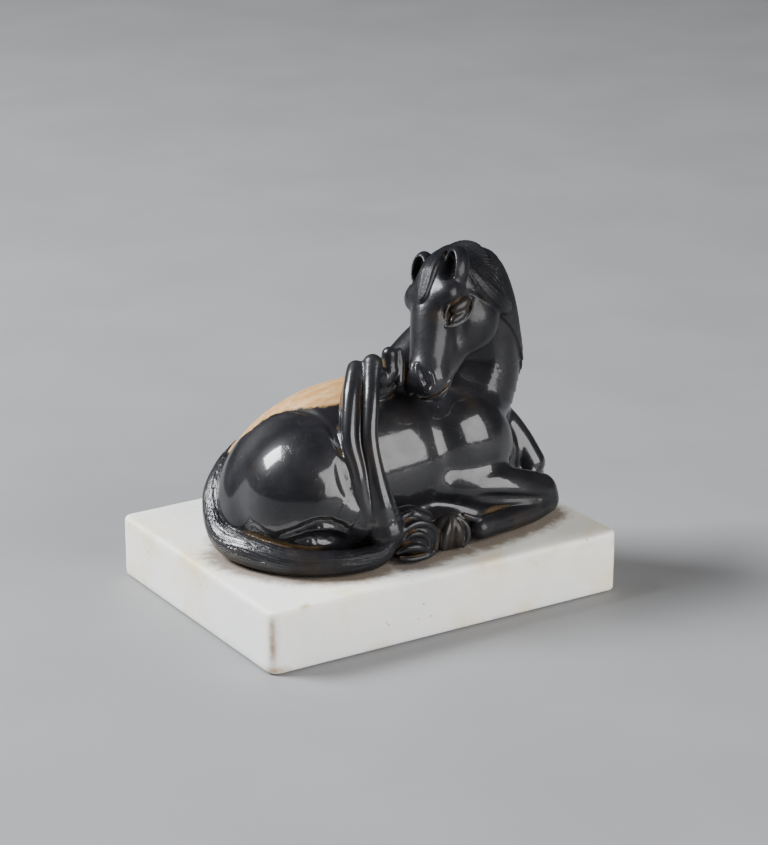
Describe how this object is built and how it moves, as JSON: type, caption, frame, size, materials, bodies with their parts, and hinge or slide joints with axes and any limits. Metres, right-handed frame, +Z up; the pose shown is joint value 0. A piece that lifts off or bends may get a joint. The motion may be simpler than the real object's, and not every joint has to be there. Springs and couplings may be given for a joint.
{
  "type": "carved stone horse figure",
  "caption": "Carved dark soapstone horse lying down, head turned back to a raised hind hoof, on a plain white marble plinth.",
  "frame": {"origin": "centre of the plinth's underside", "axes": "+X along the plinth's long side, towards the horse's chest; -Y towards the side with the raised hind leg; +Z up"},
  "size_m": [0.094, 0.0714, 0.0813],
  "materials": {
    "soapstone": "polished",
    "marble": "satin"
  },
  "bodies": {
    "root": {"horse": "soapstone", "plinth": "marble"}
  },
  "joints": []
}
